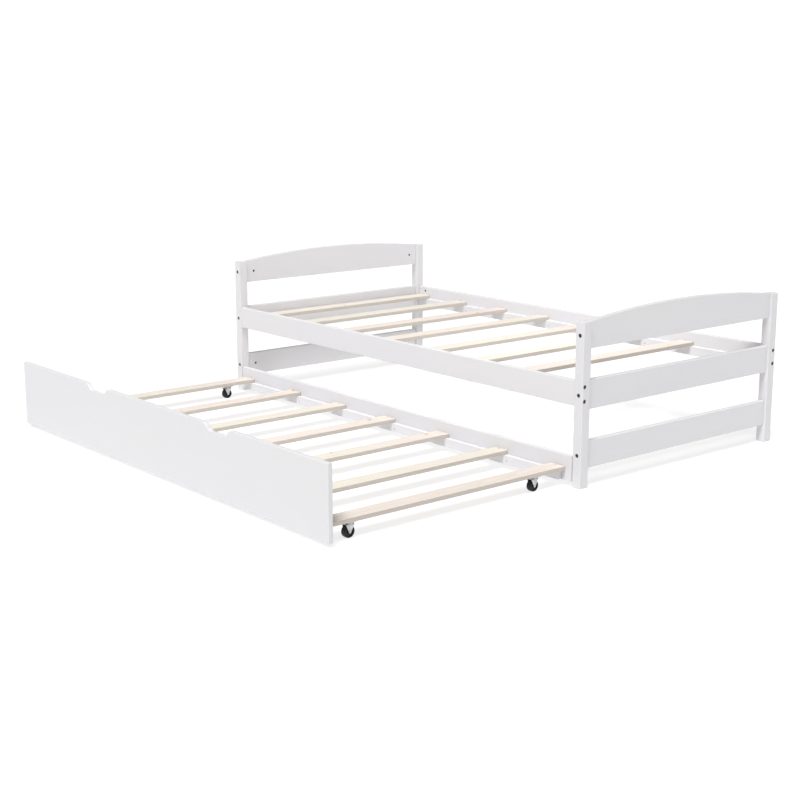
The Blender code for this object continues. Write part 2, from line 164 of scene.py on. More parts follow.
# ------------------------------------------------------------------- mesh building
def link_mesh(name, bm):
    """A new object from a bmesh."""
    bmesh.ops.recalc_face_normals(bm, faces=bm.faces)
    mesh = bpy.data.meshes.new(name)
    bm.to_mesh(mesh)
    bm.free()
    obj = bpy.data.objects.new(name, mesh)
    bpy.context.scene.collection.objects.link(obj)
    return obj


def shade(obj, angle=32):
    """Round edges smooth, sharp ones sharp, and flat faces flat."""
    obj.data.shade_smooth()
    obj.data.set_sharp_from_angle(angle=math.radians(angle))
    weighted = obj.modifiers.new("flat_faces", "WEIGHTED_NORMAL")
    weighted.keep_sharp = True


def hand_in(obj, body, material, nodes=()):
    """Give a finished piece its material and body, and the CAD nodes that it replaces."""
    obj.data.materials.clear()
    obj.data.materials.append(material)
    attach(obj, body)
    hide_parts(*nodes)
    return obj


def box_bm(low, high):
    """A box between two corners."""
    bm = bmesh.new()
    bmesh.ops.create_cube(bm, size=1.0)
    size = Matrix.Diagonal((*(high - low), 1.0))
    bmesh.ops.transform(bm, matrix=Matrix.Translation((low + high) / 2) @ size,
                        verts=bm.verts)
    return bm


def outline_bm(outline, low, high):
    """An outline given as (across, up) points, stood between two planes of normal X."""
    bm = bmesh.new()
    front = bm.faces.new([bm.verts.new((low, across, up)) for across, up in outline])
    made = bmesh.ops.extrude_face_region(bm, geom=[front])["geom"]
    verts = [item for item in made if isinstance(item, bmesh.types.BMVert)]
    bmesh.ops.translate(bm, vec=(high - low, 0, 0), verts=verts)
    return bm


def round_edges(bm, radius, segments=3):
    """Round every edge that is sharp enough to show."""
    bm.normal_update()
    least = math.radians(ROUNDED_ANGLE)
    sharp = [edge for edge in bm.edges
             if edge.is_manifold and edge.calc_face_angle() > least]
    bmesh.ops.bevel(bm, geom=sharp, offset=radius, segments=segments, profile=0.5,
                    affect="EDGES", clamp_overlap=True)


def mark_worn_edges(obj):
    """Mark each point that has only small faces round it, for the materials to read."""
    mesh = obj.data
    biggest = [0.0] * len(mesh.vertices)
    for polygon in mesh.polygons:
        for vertex in polygon.vertices:
            biggest[vertex] = max(biggest[vertex], polygon.area)
    worn = mesh.attributes.new("worn", "FLOAT", "POINT")
    worn.data.foreach_set("value", [0.0 if area > FLAT_FACE else 1.0 for area in biggest])


def turn_profile(bm, profile, segments=32, matrix=Matrix()):
    """Add a profile of (radius, height) points turned round Z, then moved by matrix."""
    rings = []
    for radius, height in profile:
        if radius == 0:
            rings.append([bm.verts.new(matrix @ Vector((0, 0, height)))])
            continue
        turns = [2 * math.pi * i / segments for i in range(segments)]
        rings.append([bm.verts.new(matrix @ Vector((radius * math.cos(a),
                                                    radius * math.sin(a), height)))
                      for a in turns])
    closed = rings if profile[0][0] == 0 else rings + rings[:1]
    for below, above in zip(closed, closed[1:]):
        for i in range(segments):
            j = (i + 1) % segments
            if len(below) == 1:
                bm.faces.new((below[0], above[i], above[j]))
            elif len(above) == 1:
                bm.faces.new((below[i], below[j], above[0]))
            else:
                bm.faces.new((below[i], below[j], above[j], above[i]))


def facing(point, direction):
    """Places local Z along a direction, at a point."""
    turn = Vector(direction).to_track_quat("Z", "Y").to_matrix().to_4x4()
    return Matrix.Translation(point) @ turn


def combine(obj, bm, operation):
    """Cut a shape out of a piece, join them, or keep what they share, as a plain mesh."""
    other = link_mesh(obj.name + "_other", bm)
    boolean = obj.modifiers.new(operation.lower(), "BOOLEAN")
    boolean.object = other
    boolean.operation = operation
    boolean.solver = "EXACT"
    depsgraph = bpy.context.evaluated_depsgraph_get()
    mesh = bpy.data.meshes.new_from_object(obj.evaluated_get(depsgraph))
    obj.modifiers.clear()
    obj.data = mesh
    bpy.data.objects.remove(other)


def take_mesh(obj):
    """The mesh of an object that was only a pattern for copies."""
    mesh = obj.data
    bpy.data.objects.remove(obj)
    return mesh


def pits_bm(places, radius, depth):
    """Round pits with a slightly broken edge, to be cut out of a board."""
    bm = bmesh.new()
    rim = radius + HOLE_RIM
    profile = [(0, -depth), (radius, -depth), (radius, -HOLE_RIM), (rim, 0),
               (rim, HOLE_RIM), (0, HOLE_RIM)]
    for point, direction in places:
        turn_profile(bm, profile, matrix=facing(point, direction))
    return bm


# ----------------------------------------------------------------------- materials
# The Mix node's colour sockets by number, since its other sockets have the same names
MIX_COLORS = (6, 7)
MIX_RESULT = 2


class Shader:
    """A Principled material, with short calls for the nodes that it is built from."""

    def __init__(self, name):
        self.material = bpy.data.materials.new(name)
        self.material.use_nodes = True
        self.tree = self.material.node_tree
        self.principled = self.tree.nodes["Principled BSDF"]

    def node(self, kind, **settings):
        made = self.tree.nodes.new("ShaderNode" + kind)
        for key, value in settings.items():
            setattr(made, key, value)
        return made

    def feed(self, node, socket, value):
        """Link an output to a socket, or set the socket to a constant."""
        if isinstance(value, bpy.types.NodeSocket):
            self.tree.links.new(value, node.inputs[socket])
        else:
            node.inputs[socket].default_value = value

    def coordinates(self, scale=(1, 1, 1), offset=(0, 0, 0), turn=(0, 0, 0)):
        """The piece's own coordinates, scaled, turned and moved."""
        source = self.node("TexCoord")
        mapping = self.node("Mapping")
        self.feed(mapping, "Vector", source.outputs["Object"])
        self.feed(mapping, "Location", offset)
        self.feed(mapping, "Rotation", turn)
        self.feed(mapping, "Scale", scale)
        return mapping.outputs["Vector"]

    def noise(self, vector, scale, detail=2.0, roughness=0.5):
        made = self.node("TexNoise")
        self.feed(made, "Vector", vector)
        self.feed(made, "Scale", scale)
        self.feed(made, "Detail", detail)
        self.feed(made, "Roughness", roughness)
        return made.outputs["Fac"]

    def math(self, operation, first, second=0.0):
        made = self.node("Math", operation=operation)
        self.feed(made, 0, first)
        self.feed(made, 1, second)
        return made.outputs[0]

    def spread(self, value, from_low, from_high, to_low, to_high, smooth=False):
        """Map one range onto another, held at the ends."""
        made = self.node("MapRange")
        made.interpolation_type = "SMOOTHSTEP" if smooth else "LINEAR"
        self.feed(made, "Value", value)
        self.feed(made, "From Min", from_low)
        self.feed(made, "From Max", from_high)
        self.feed(made, "To Min", to_low)
        self.feed(made, "To Max", to_high)
        return made.outputs["Result"]

    def blend(self, factor, first, second):
        """Mix two colours, each of them an output or a constant."""
        made = self.node("Mix", data_type="RGBA")
        self.feed(made, "Factor", factor)
        for socket, color in zip(MIX_COLORS, (first, second)):
            linked = isinstance(color, bpy.types.NodeSocket)
            self.feed(made, socket, color if linked else (*color, 1.0))
        return made.outputs[MIX_RESULT]

    def bump(self, height, distance, normal=None):
        made = self.node("Bump")
        self.feed(made, "Height", height)
        self.feed(made, "Distance", distance)
        if normal is not None:
            self.feed(made, "Normal", normal)
        return made.outputs["Normal"]

    def worn(self):
        """How worn a point is, from mark_worn_edges."""
        return self.node("Attribute", attribute_name="worn").outputs["Fac"]

    def finish(self, color, roughness, normal, **constants):
        """Feed the Principled shader, naming its other sockets with _ for a space."""
        self.feed(self.principled, "Base Color", color)
        self.feed(self.principled, "Roughness", roughness)
        self.feed(self.principled, "Normal", normal)
        for key, value in constants.items():
            self.principled.inputs[key.replace("_", " ")].default_value = value
        return self.material


def along(axis, across, lengthwise):
    """Scale that stretches a pattern along an axis: 0, 1 or 2."""
    scale = [across, across, across]
    scale[axis] = lengthwise
    return tuple(scale)


def white_paint(name, axis, seed):
    """Satin white paint over wood whose grain runs along an axis and just shows."""
    s = Shader(name)
    shift = (seed * 1.7, seed * 0.9, seed * 2.3)
    grain = s.noise(s.coordinates(along(axis, 1.0, 0.03), shift), 210.0, 4.0, 0.6)
    swell = s.noise(s.coordinates(along(axis, 1.0, 0.12), shift), 24.0, 2.0)
    stipple = s.noise(s.coordinates(offset=shift), 1400.0, 2.0)
    cloud = s.noise(s.coordinates(along(axis, 1.0, 0.35), shift), 3.2, 3.0)

    color = s.blend(s.spread(cloud, 0.3, 0.7, 0.0, 1.0), WHITE_COOL, WHITE_WARM)
    color = s.blend(s.spread(grain, 0.42, 0.62, 0.0, 0.06), color, PAINT_GRAIN)
    rubbed = s.spread(s.noise(s.coordinates(offset=shift), 55.0, 3.0), 0.5, 0.66, 0.0, 0.55,
                      smooth=True)
    color = s.blend(s.math("MULTIPLY", rubbed, s.worn()), color, PAINT_THIN)

    roughness = s.spread(cloud, 0.25, 0.75, 0.36, 0.47)
    roughness = s.math("ADD", roughness, s.spread(grain, 0.3, 0.7, -0.03, 0.05))
    normal = s.bump(swell, 0.00012)
    normal = s.bump(grain, 0.00005, normal)
    normal = s.bump(stipple, 0.00002, normal)
    return s.finish(color, roughness, normal, IOR=1.48)


def pine(name, centre, seed):
    """Planed bare pine, grain along Y: rings, fibre, resin flecks and a few knots.

    The board's centre is needed because the log's pith runs close to it.
    """
    s = Shader(name)
    draw = random.Random(seed)
    shift = tuple(draw.uniform(-3, 3) for _ in range(3))
    heart = Vector((draw.uniform(-0.030, 0.030), 0, -draw.uniform(0.012, 0.060)))
    skew = Euler((math.radians(draw.uniform(-2.4, 2.4)), 0, math.radians(draw.uniform(-2, 2))))
    pith = s.coordinates(offset=heart - skew.to_matrix() @ centre, turn=skew)

    halo, core, flow = knots(s, draw, s.coordinates(offset=-centre))
    late = year_rings(s, draw, pith, shift, flow)
    fibre = s.noise(s.coordinates(along(1, 1.0, 0.012), shift), 1100.0, 3.0, 0.6)
    streak = s.noise(s.coordinates(along(1, 1.0, 0.02), shift), 160.0, 3.0, 0.6)
    fleck = s.noise(s.coordinates(along(1, 1.0, 0.03), shift), 2600.0, 1.0)
    patch = s.noise(s.coordinates(along(1, 1.0, 0.3), shift), 4.0, 2.0)

    lean = draw.uniform(-0.35, 0.35)
    color = s.blend(s.spread(patch, 0.38 + lean, 0.62 + lean, 0.0, 1.0), PINE_YELLOW,
                    PINE_PINK)
    color = s.blend(s.spread(streak, 0.4, 0.7, 0.0, 0.35), color, PINE_PALE)
    color = s.blend(s.math("MULTIPLY", late, s.spread(streak, 0.3, 0.7, 0.20, 0.62)),
                    color, PINE_LATE)
    color = s.blend(s.spread(fibre, 0.45, 0.75, 0.0, 0.25), color, PINE_LATE)
    color = s.blend(s.spread(fleck, 0.70, 0.80, 0.0, 0.35), color, PINE_FLECK)
    color = s.blend(halo, color, PINE_HALO)
    color = s.blend(core, color, PINE_KNOT)
    # Painted shade: the narrow sides, facing X, are darkened as if they stood in shade, more
    # along some streaks than others
    face = s.node("SeparateXYZ")
    s.feed(face, 0, s.node("TexCoord").outputs["Normal"])
    side_shade = s.spread(s.math("ABSOLUTE", face.outputs["X"]), 0.55, 0.85, 0.0, 1.0)
    depth = s.spread(streak, 0.3, 0.7, 0.44, 0.66)
    color = s.blend(s.math("MULTIPLY", side_shade, depth), color, PINE_PAINTED_SHADE)
    color = s.blend(s.math("MULTIPLY", s.worn(), 0.25), color, PINE_PALE)

    roughness = s.spread(fibre, 0.3, 0.7, 0.50, 0.68)
    normal = s.bump(late, 0.00003)
    normal = s.bump(fibre, 0.00008, normal)
    return s.finish(color, roughness, normal, IOR=1.45)


def year_rings(s, draw, pith, shift, flow):
    """How deep a point is in the dark late wood of its year, from its place in the log."""
    sway = s.node("TexNoise")
    s.feed(sway, "Vector", s.coordinates(along(1, 1.0, 0.16), shift))
    s.feed(sway, "Scale", 8.0)
    s.feed(sway, "Detail", 3.0)
    pushed = s.node("VectorMath", operation="MULTIPLY_ADD")
    s.feed(pushed, 0, sway.outputs["Color"])
    s.feed(pushed, 1, (0.022, 0.0, 0.016))
    s.feed(pushed, 2, pith)
    split = s.node("SeparateXYZ")
    s.feed(split, 0, pushed.outputs[0])
    square = s.math("ADD", s.math("POWER", split.outputs["X"], 2.0),
                    s.math("POWER", split.outputs["Z"], 2.0))
    distance = s.math("ADD", s.math("SQRT", square), flow)
    years = s.node("TexNoise", noise_dimensions="1D")
    s.feed(years, "W", distance)
    s.feed(years, "Scale", 70.0)
    s.feed(years, "Detail", 1.0)
    distance = s.math("ADD", distance, s.math("MULTIPLY", years.outputs["Fac"], 0.010))
    ring = s.math("FRACT", s.math("DIVIDE", distance, draw.uniform(0.0030, 0.0046)))
    # Pale early wood darkens slowly into a thin late ring, then starts again
    return s.math("MULTIPLY", s.spread(ring, 0.30, 0.88, 0.0, 1.0, smooth=True),
                  s.spread(ring, 0.90, 1.0, 1.0, 0.0, smooth=True))


def knots(s, draw, own):
    """Knots scattered along a slat: their halo, their core and their push on the rings."""
    cell = 0.38
    split = s.node("SeparateXYZ")
    s.feed(split, 0, own)
    lengthwise = s.math("ADD", s.math("DIVIDE", split.outputs["Y"], cell),
                        draw.uniform(10, 90))
    cells = s.node("TexVoronoi", voronoi_dimensions="1D")
    s.feed(cells, "W", lengthwise)
    s.feed(cells, "Scale", 1.0)
    kind = s.node("SeparateColor")
    s.feed(kind, 0, cells.outputs["Color"])

    across = s.math("SUBTRACT", split.outputs["X"],
                    s.spread(kind.outputs["Red"], 0.0, 1.0, -0.028, 0.028))
    reach = s.math("MULTIPLY", cells.outputs["Distance"], cell)
    squares = s.math("ADD", s.math("POWER", across, 2.0), s.math("POWER", reach, 2.0))
    wobble = s.noise(s.coordinates(), 130.0, 2.0)
    distance = s.math("ADD", s.math("SQRT", squares), s.spread(wobble, 0.0, 1.0, -0.002, 0.002))
    present = s.math("GREATER_THAN", kind.outputs["Blue"], 0.58)
    share = s.math("DIVIDE", distance, s.spread(kind.outputs["Green"], 0.0, 1.0, 0.0022, 0.0060))
    halo = s.math("MULTIPLY", s.spread(share, 1.0, 2.6, 0.50, 0.0, smooth=True), present)
    core = s.math("MULTIPLY", s.spread(share, 0.7, 1.1, 0.80, 0.0, smooth=True), present)
    push = s.math("EXPONENT", s.math("MULTIPLY", distance, -60.0))
    flow = s.math("MULTIPLY", s.math("MULTIPLY", push, 0.010), present)
    return halo, core, flow


def plated_steel(name, seed, roughness=0.34):
    """Zinc-plated sheet and screws: cloudy, faintly scratched."""
    s = Shader(name)
    shift = (seed * 1.3, seed * 0.7, seed * 2.1)
    cloud = s.noise(s.coordinates(offset=shift), 90.0, 3.0)
    scratch = s.noise(s.coordinates((1.0, 0.05, 1.0), shift), 2600.0, 2.0)
    spangle = s.node("TexVoronoi")
    s.feed(spangle, "Vector", s.coordinates(offset=shift))
    s.feed(spangle, "Scale", 420.0)
    flake = s.node("SeparateColor")
    s.feed(flake, 0, spangle.outputs["Color"])
    dull = tuple(part * ZINC_DULLED for part in ZINC)
    base = s.blend(s.spread(cloud, 0.35, 0.65, 0.0, 1.0), ZINC, dull)
    base = s.blend(s.spread(flake.outputs["Red"], 0.0, 1.0, 0.0, 0.12), base, dull)
    rough = s.math("ADD", s.spread(cloud, 0.3, 0.7, roughness - 0.05, roughness + 0.12),
                   s.spread(scratch, 0.35, 0.65, -0.03, 0.05))
    normal = s.bump(scratch, 0.00002)
    return s.finish(base, rough, normal, Metallic=1.0)


def black_oxide(name):
    """Blackened steel of the bolts and barrel nuts, cloudy where it is rubbed."""
    s = Shader(name)
    cloud = s.noise(s.coordinates(), 260.0, 3.0)
    base = s.blend(s.spread(cloud, 0.35, 0.65, 0.0, 1.0), OXIDE, OXIDE_RUBBED)
    rough = s.spread(cloud, 0.3, 0.7, 0.30, 0.48)
    normal = s.bump(s.noise(s.coordinates(), 2400.0, 2.0), 0.00002)
    return s.finish(base, rough, normal, Metallic=0.9)


def black_plastic(name):
    """Hard moulded wheel plastic with a scuffed, slightly dusty tread."""
    s = Shader(name)
    cloud = s.noise(s.coordinates(), 160.0, 4.0, 0.6)
    scuff = s.noise(s.coordinates((0.15, 1.0, 1.0)), 900.0, 3.0)
    base = s.blend(s.spread(cloud, 0.45, 0.75, 0.0, 0.6), PLASTIC, PLASTIC_DUSTY)
    base = s.blend(s.spread(scuff, 0.58, 0.75, 0.0, 0.35), base, PLASTIC_SCUFFED)
    rough = s.spread(cloud, 0.3, 0.7, 0.34, 0.52)
    return s.finish(base, rough, s.bump(scuff, 0.00003), IOR=1.38)


# ------------------------------------------------------------------------ bed frame
def bolt_places():
    """(point, outward direction) of every bolt head, keyed by the post that it is in."""
    places = {}
    for end in ENDS:
        for side, out in SIDES.items():
            post_low, post_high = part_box(f"post_{end}_{side}")
            face = post_low.y if out < 0 else post_high.y
            x = (post_low.x + post_high.x) / 2
            found = [(Vector((x, face, end_rail_middle(end, level))), (0, out, 0))
                     for level in LEVELS]
            for level in ("lower", "upper"):
                low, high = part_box(f"bolt_{end}_{side}_{level}")
                middle = (low + high) / 2
                middle.x = post_high.x if ENDS[end] > 0 else post_low.x
                found.append((middle, (ENDS[end], 0, 0)))
            places[f"post_{end}_{side}"] = found
    return places


def end_rail_middle(end, level):
    """Height of an end rail's bolts: half way up it, where it meets the posts."""
    low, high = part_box(f"{end}_{level}_rail")
    top = min(high.z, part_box(f"post_{end}_near")[1].z)
    return (low.z + top) / 2


def finish_board(name, bm, radius, body, material, pits=None):
    """Round a board's edges, sink its pits, and hand it in for the node of its name."""
    round_edges(bm, radius)
    obj = link_mesh(name + "_piece", bm)
    if pits:
        combine(obj, pits, "DIFFERENCE")
    mark_worn_edges(obj)
    shade(obj)
    return hand_in(obj, body, material, [name])


def make_posts(paint, bolts):
    for name, places in bolts.items():
        bm = box_bm(*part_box(name))
        pits = pits_bm(places, BOLT_HOLE_RADIUS, BOLT_HOLE_DEPTH)
        finish_board(name, bm, PAINT_EDGE, "bed_frame", paint, pits)


def arch_outline(low, high, end_top):
    """A rail's outline, (y, z): straight below, and an arc from end to end above."""
    half = (high.y - low.y) / 2
    middle = (high.y + low.y) / 2
    rise = high.z - end_top
    radius = (half ** 2 + rise ** 2) / (2 * rise)
    reach = math.asin(half / radius)
    outline = [(low.y, low.z), (high.y, low.z)]
    for i in range(ARCH_STEPS + 1):
        angle = reach * (1 - 2 * i / ARCH_STEPS)
        outline.append((middle + radius * math.sin(angle),
                        high.z - radius * (1 - math.cos(angle))))
    return outline


def end_rail_nuts(end, level):
    """Barrel nuts of an end rail, on the face that looks over the bed."""
    low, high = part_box(f"{end}_{level}_rail")
    face = low.x if ENDS[end] > 0 else high.x
    z = end_rail_middle(end, level)
    return [(Vector((face, y, z)), (-ENDS[end], 0, 0))
            for y in (low.y + NUT_FROM_POST, high.y - NUT_FROM_POST)]


def make_end_rails(paint):
    for end in ENDS:
        for level in LEVELS:
            name = f"{end}_{level}_rail"
            low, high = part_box(name)
            if level == "top":
                end_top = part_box(f"post_{end}_near")[1].z
                bm = outline_bm(arch_outline(low, high, end_top), low.x, high.x)
            else:
                bm = box_bm(low, high)
            pits = pits_bm(end_rail_nuts(end, level), NUT_HOLE_RADIUS, NUT_HOLE_DEPTH)
            finish_board(name, bm, PAINT_EDGE, "bed_frame", paint, pits)


def side_rail_nuts(side):
    """The upper barrel nuts of a side rail; the ledger covers the lower ones."""
    low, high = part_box(f"side_rail_{side}")
    face = high.y if SIDES[side] < 0 else low.y
    bolt_low, bolt_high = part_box(f"bolt_footboard_{side}_upper")
    z = (bolt_low.z + bolt_high.z) / 2
    return [(Vector((x, face, z)), (0, -SIDES[side], 0))
            for x in (low.x + NUT_FROM_POST, high.x - NUT_FROM_POST)]


def make_side_rails(paint):
    for side in SIDES:
        name = f"side_rail_{side}"
        pits = pits_bm(side_rail_nuts(side), NUT_HOLE_RADIUS, NUT_HOLE_DEPTH)
        finish_board(name, box_bm(*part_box(name)), PAINT_EDGE, "bed_frame",
                     paint, pits)


def make_plain_boards(names, body, radius, material):
    """Painted boards with nothing but rounded edges."""
    for name in names:
        finish_board(name, box_bm(*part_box(name)), radius, body, material)


def make_slats(names, body, seed):
    """Pine slats, each cut from another log."""
    for i, name in enumerate(names):
        low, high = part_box(name)
        wood = pine("pine_" + name, (low + high) / 2, seed + i)
        finish_board(name, box_bm(low, high), PINE_EDGE, body, wood)


# ------------------------------------------------------------------------ fasteners
def hexagon_radius(angle, across_flats):
    """Distance from a hexagon's middle to its outline, at an angle."""
    sector = (angle + math.pi / 6) % (math.pi / 3) - math.pi / 6
    return across_flats / 2 / math.cos(sector)


def add_bolt(bm, matrix):
    """Flat bolt head with a hexagon socket, its top on the local XY plane."""
    angles = [2 * math.pi * i / BOLT_SEGMENTS for i in range(BOLT_SEGMENTS)]
    mouth = [hexagon_radius(angle, BOLT_SOCKET + 0.0005) for angle in angles]
    socket = [hexagon_radius(angle, BOLT_SOCKET) for angle in angles]
    levels = [([radius] * BOLT_SEGMENTS, z) for radius, z in (
        (BOLT_RADIUS, -0.0020), (BOLT_RADIUS, -0.0005),
        (BOLT_RADIUS - 0.0002, -0.0002), (BOLT_RADIUS - 0.0006, 0.0))]
    levels += [(mouth, 0.0), (socket, -0.0003), (socket, -BOLT_SOCKET_DEPTH)]
    rings = [[bm.verts.new(matrix @ Vector((radius * math.cos(a), radius * math.sin(a), z)))
              for radius, a in zip(radii, angles)] for radii, z in levels]
    for low, high in zip(rings, rings[1:]):
        for i in range(BOLT_SEGMENTS):
            j = (i + 1) % BOLT_SEGMENTS
            bm.faces.new((low[i], low[j], high[j], high[i]))
    bm.faces.new(rings[0])
    bm.faces.new(rings[-1])


def make_bolts(name, places, material, nodes):
    """The heads of a set of bolts, as one piece."""
    bm = bmesh.new()
    for point, direction in places:
        sunk = Vector(point) - Vector(direction) * BOLT_SUNK
        add_bolt(bm, facing(sunk, direction))
    obj = link_mesh(name, bm)
    shade(obj)
    hand_in(obj, "bed_frame", material, nodes)


def slot_bm(matrix, length, width, depth):
    """A tapered blade shape, to be cut out of a nut or a screw."""
    bm = bmesh.new()
    bmesh.ops.create_cube(bm, size=1.0)
    bmesh.ops.scale(bm, vec=(length, width, 2 * depth), verts=bm.verts)
    for vert in bm.verts:
        if vert.co.z < 0:
            vert.co.xy *= 0.7
    bmesh.ops.transform(bm, matrix=matrix, verts=bm.verts)
    return bm


def cut_cross(obj, length, width, depth, height=0.0):
    """Cut a cross recess in the top of a screw, from a height."""
    for quarter in (0, math.pi / 2):
        place = Matrix.Translation((0, 0, height)) @ Matrix.Rotation(quarter, 4, "Z")
        combine(obj, slot_bm(place, length, width, depth), "DIFFERENCE")


def make_nut_mesh():
    """Barrel nut's end face with its screwdriver slot, along local Z."""
    bm = bmesh.new()
    turn_profile(bm, [(0, -0.004), (NUT_RADIUS, -0.004), (NUT_RADIUS, -0.0005),
                      (NUT_RADIUS - 0.0005, 0), (0, 0)])
    nut = link_mesh("nut_master", bm)
    combine(nut, slot_bm(Matrix(), 0.012, 0.0014, 0.0014), "DIFFERENCE")
    return take_mesh(nut)


def make_screw_mesh():
    """Countersunk screw head with a cross recess, along local Z."""
    bm = bmesh.new()
    r = SCREW_RADIUS
    turn_profile(bm, [(0, -0.0032), (r * 0.45, -0.0030), (r, -0.0003), (r, -0.0001),
                      (r - 0.0003, 0.0001), (0, 0.0002)], 28)
    screw = link_mesh("screw_master", bm)
    cut_cross(screw, 0.0046, 0.0010, 0.0016)
    return take_mesh(screw)


def make_copies(name, master, places, body, material, draw):
    """Copies of a small mesh at many places, each turned by chance, as one piece."""
    bm = bmesh.new()
    for point, direction in places:
        start = len(bm.verts)
        bm.from_mesh(master)
        bm.verts.ensure_lookup_table()
        turn = Matrix.Rotation(draw.uniform(0, math.pi), 4, "Z")
        bmesh.ops.transform(bm, matrix=facing(point, direction) @ turn,
                            verts=bm.verts[start:])
    obj = link_mesh(name, bm)
    shade(obj)
    hand_in(obj, body, material)


def slat_screw_places(slats):
    """One screw near each end of every slat, on its centre line."""
    places = []
    for name in slats:
        low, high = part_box(name)
        x = (low.x + high.x) / 2
        for y in (low.y + SLAT_SCREW_INSET, high.y - SLAT_SCREW_INSET):
            places.append((Vector((x, y, high.z)), (0, 0, 1)))
    return places


def ledger_screw_places(ledger, slats, out):
    """Screws along a ledger's free face, one just past every second slat.

    The face looks towards +Y where out is 1, and towards -Y where it is -1.
    """
    low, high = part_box(ledger)
    y = high.y if out > 0 else low.y
    z = (low.z + high.z) / 2 - LEDGER_SCREW_DROP
    beside = [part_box(name)[1].x + LEDGER_SCREW_ASIDE for name in slats[1::2]]
    return [(Vector((x, y, z)), (0, out, 0)) for x in beside
            if x < high.x - LEDGER_SCREW_INSET]


# -------------------------------------------------------------------------- casters
def rounded_square(half, corner, steps=8):
    """Outline of a square with round corners, (x, y) points."""
    outline = []
    for quarter, (sx, sy) in enumerate(((1, 1), (-1, 1), (-1, -1), (1, -1))):
        for i in range(steps + 1):
            angle = math.pi / 2 * (quarter + i / steps)
            outline.append((sx * (half - corner) + corner * math.cos(angle),
                            sy * (half - corner) + corner * math.sin(angle)))
    return outline


def add_drill(bm, place, radius, segments):
    """Add an upright rod, to be cut through a caster's plate."""
    reach = 0.003
    profile = [(0, -reach), (radius, -reach), (radius, reach), (0, reach)]
    turn_profile(bm, profile, segments, Matrix.Translation(place))


def make_caster_plate(name, steel):
    """Pressed plate with its holes, and the places of the screws that hold it."""
    low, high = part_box(name + "_plate")
    centre = (low + high) / 2
    half = (high.x - low.x) / 2
    lay_flat = Matrix.Rotation(-math.pi / 2, 4, "Y")
    bm = outline_bm(rounded_square(half, PLATE_CORNER), low.z - centre.z, high.z - centre.z)
    bmesh.ops.transform(bm, matrix=Matrix.Translation(centre) @ lay_flat, verts=bm.verts)
    round_edges(bm, PLATE_EDGE, 2)
    plate = link_mesh(name + "_plate_piece", bm)
    reach = half - PLATE_HOLE_INSET
    corners = [Vector((sx * reach, sy * reach, 0)) for sx in (-1, 1) for sy in (-1, 1)]
    holes = bmesh.new()
    for corner in corners:
        add_drill(holes, centre + corner, PLATE_HOLE_RADIUS, 24)
    add_drill(holes, centre, PIN_HOLE_RADIUS, 32)
    combine(plate, holes, "DIFFERENCE")
    shade(plate)
    hand_in(plate, "trundle", steel, [name + "_plate"])
    under = Vector((0, 0, low.z - centre.z))
    return [(centre + (corner + under), (0, 0, -1)) for corner in corners]


def make_pan_screw_mesh():
    """Pan-head screw that holds a caster plate, along local Z."""
    bm = bmesh.new()
    r = PAN_SCREW_RADIUS
    profile = [(0, -0.0012), (0.0016, -0.0012), (0.0016, 0.0), (r, 0.0), (r, 0.0005),
               (r * 0.92, 0.0010), (r * 0.70, 0.0014), (r * 0.35, 0.0016), (0, 0.0017)]
    turn_profile(bm, profile, 28)
    screw = link_mesh("pan_screw_master", bm)
    cut_cross(screw, 0.0036, 0.0008, 0.0009, 0.0016)
    return take_mesh(screw)


def channel_outline(half, top, bend):
    """An upturned U with round corners, as (across, up) points from foot to foot."""
    outline = [(-half, -FORK_BLANK)]
    for i in range(BEND_STEPS + 1):
        angle = math.pi - math.pi / 2 * i / BEND_STEPS
        outline.append((-half + bend + bend * math.cos(angle),
                        top - bend + bend * math.sin(angle)))
    return outline + [(-x, z) for x, z in reversed(outline)]


def cheek_outline(low, swivel, axle, top):
    """The fork from the side, as (y, z) points from the swivel: a V, round at its foot."""
    trail = axle.y - swivel.y
    behind = low.y - swivel.y
    ahead = 2 * trail - behind + FORK_NOSE
    foot = low.z + FORK_TIP
    outline = [(ahead, top + FORK_BAND), (behind, top + FORK_BAND), (behind, top - FORK_BAND)]
    for i in range(TIP_STEPS + 1):
        angle = math.radians(TIP_START + TIP_SWEEP * i / TIP_STEPS)
        outline.append((trail + FORK_TIP * math.cos(angle), foot + FORK_TIP * math.sin(angle)))
    outline.append((ahead, top - FORK_BAND))
    return outline


def race_profile(top, ceiling, pin_top):
    """Ball race from the fork's top up to the plate, with the king pin above it."""
    r = RACE_RADIUS
    inside = top - FORK_SHEET / 2
    return [(0, inside), (r * 0.86, inside), (r * 0.86, top + 0.0002),
            (r * 0.94, top + 0.0006), (r, top + 0.0016), (r, top + 0.0022),
            (r * 0.93, top + 0.0025), (r * 0.93, top + 0.0029), (r, top + 0.0032),
            (r, top + 0.0040), (r * 0.96, ceiling - 0.0003), (r * 0.90, ceiling),
            (KING_PIN_RADIUS, ceiling), (KING_PIN_RADIUS, pin_top), (0, pin_top)]


def rivet_profile(under):
    """The king pin's riveted end, below the fork's top."""
    return [(0, under - 0.0009), (0.0030, under - 0.0007), (0.0046, under - 0.0002),
            (0.0048, under + 0.0004), (0, under + 0.0004)]


